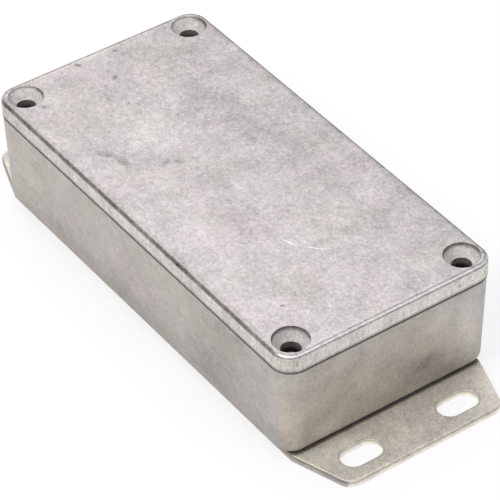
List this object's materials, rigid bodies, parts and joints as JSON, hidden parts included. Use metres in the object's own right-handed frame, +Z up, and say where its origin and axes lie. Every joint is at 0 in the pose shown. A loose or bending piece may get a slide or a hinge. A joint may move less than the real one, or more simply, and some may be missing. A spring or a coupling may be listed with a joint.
{
  "type": "die cast enclosure",
  "caption": "Small rectangular die cast aluminium box with a countersunk screwed lid, tapered sides and a slotted flange plate under it for fixing to a panel.",
  "frame": {"origin": "middle of the flange plate's underside, the face that lies on the panel", "axes": "+Z up through the lid, +X along the box's long side, +Y along its short side"},
  "size_m": [0.1224, 0.0492, 0.027],
  "materials": {
    "body_cast_aluminium": "as cast and tumbled, satin, faintly mottled",
    "lid_cast_aluminium": "as cast and tumbled, satin, with a trimmed band round the side",
    "plate_aluminium": "tumbled, satin, with softened top edges"
  },
  "bodies": {
    "root": {"body": "body_cast_aluminium", "lid": "lid_cast_aluminium", "flange_plate": "plate_aluminium"}
  },
  "joints": []
}
